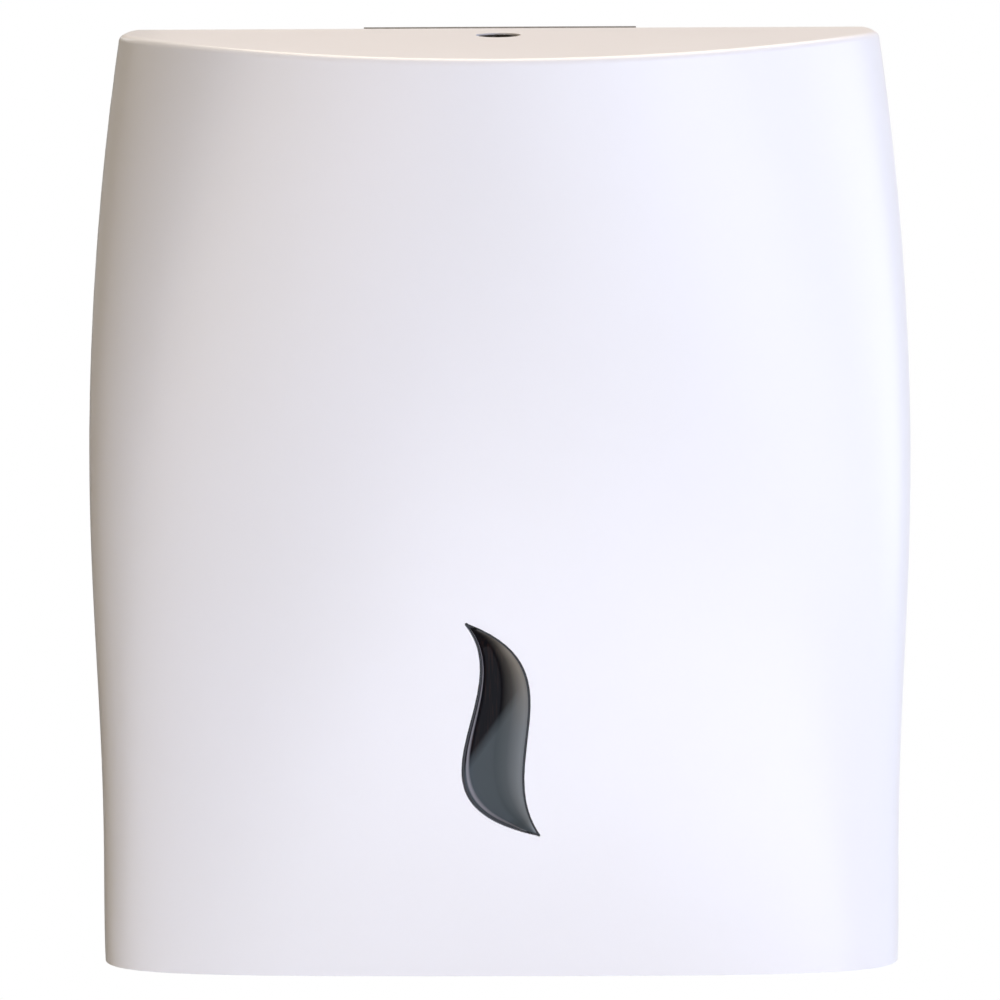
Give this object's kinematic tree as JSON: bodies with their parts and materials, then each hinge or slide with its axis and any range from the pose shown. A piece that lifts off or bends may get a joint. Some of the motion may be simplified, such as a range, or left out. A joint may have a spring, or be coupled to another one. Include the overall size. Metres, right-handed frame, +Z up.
{
  "type": "folded paper towel dispenser",
  "caption": "Wall-mounted folded hand towel dispenser: curved white cover hinged at its foot, S-shaped sight window, cam lock in the top, dispensing mouth underneath.",
  "frame": {"origin": "centre of the four wall screw holes, on the back face, at mid-height of the cover", "axes": "+Y goes into the wall, the front faces -Y, +Z is up, +X is to the right of someone who faces the dispenser"},
  "size_m": [0.2608, 0.105, 0.2955],
  "materials": {
    "cover_plastic": "glossy white moulded plastic",
    "base_plastic": "satin pale grey moulded plastic",
    "smoked_plastic": "clear smoked grey, polished",
    "lock_chrome": "bright plated",
    "keeper_steel": "zinc plated sheet",
    "screw_steel": "zinc plated"
  },
  "bodies": {
    "base": {"back_plate": "base_plastic", "dispensing_tray": "base_plastic", "tray_screws": "screw_steel", "keeper": "keeper_steel", "keeper_screws": "screw_steel", "hinge_pin_left": "screw_steel", "hinge_pin_right": "screw_steel"},
    "cover": {"front_cover": "cover_plastic", "sight_window": "smoked_plastic", "lock_barrel": "lock_chrome", "lock_washer": "screw_steel", "lock_nut": "screw_steel"},
    "lock": {"lock_plug": "lock_chrome", "stop_washer": "screw_steel", "lock_cam": "keeper_steel", "cam_screw": "screw_steel"}
  },
  "joints": [
    {"name": "cover_hinge", "type": "hinge", "parent": "base", "child": "cover", "pos_m": [0, -0.013, -0.136], "axis": [1, 0, 0], "range_deg": [0, 90]},
    {"name": "lock_turn", "type": "hinge", "parent": "cover", "child": "lock", "pos_m": [0, -0.0458, 0.12715], "axis": [0, 0.0936, -0.9956], "range_deg": [0, 90]}
  ]
}
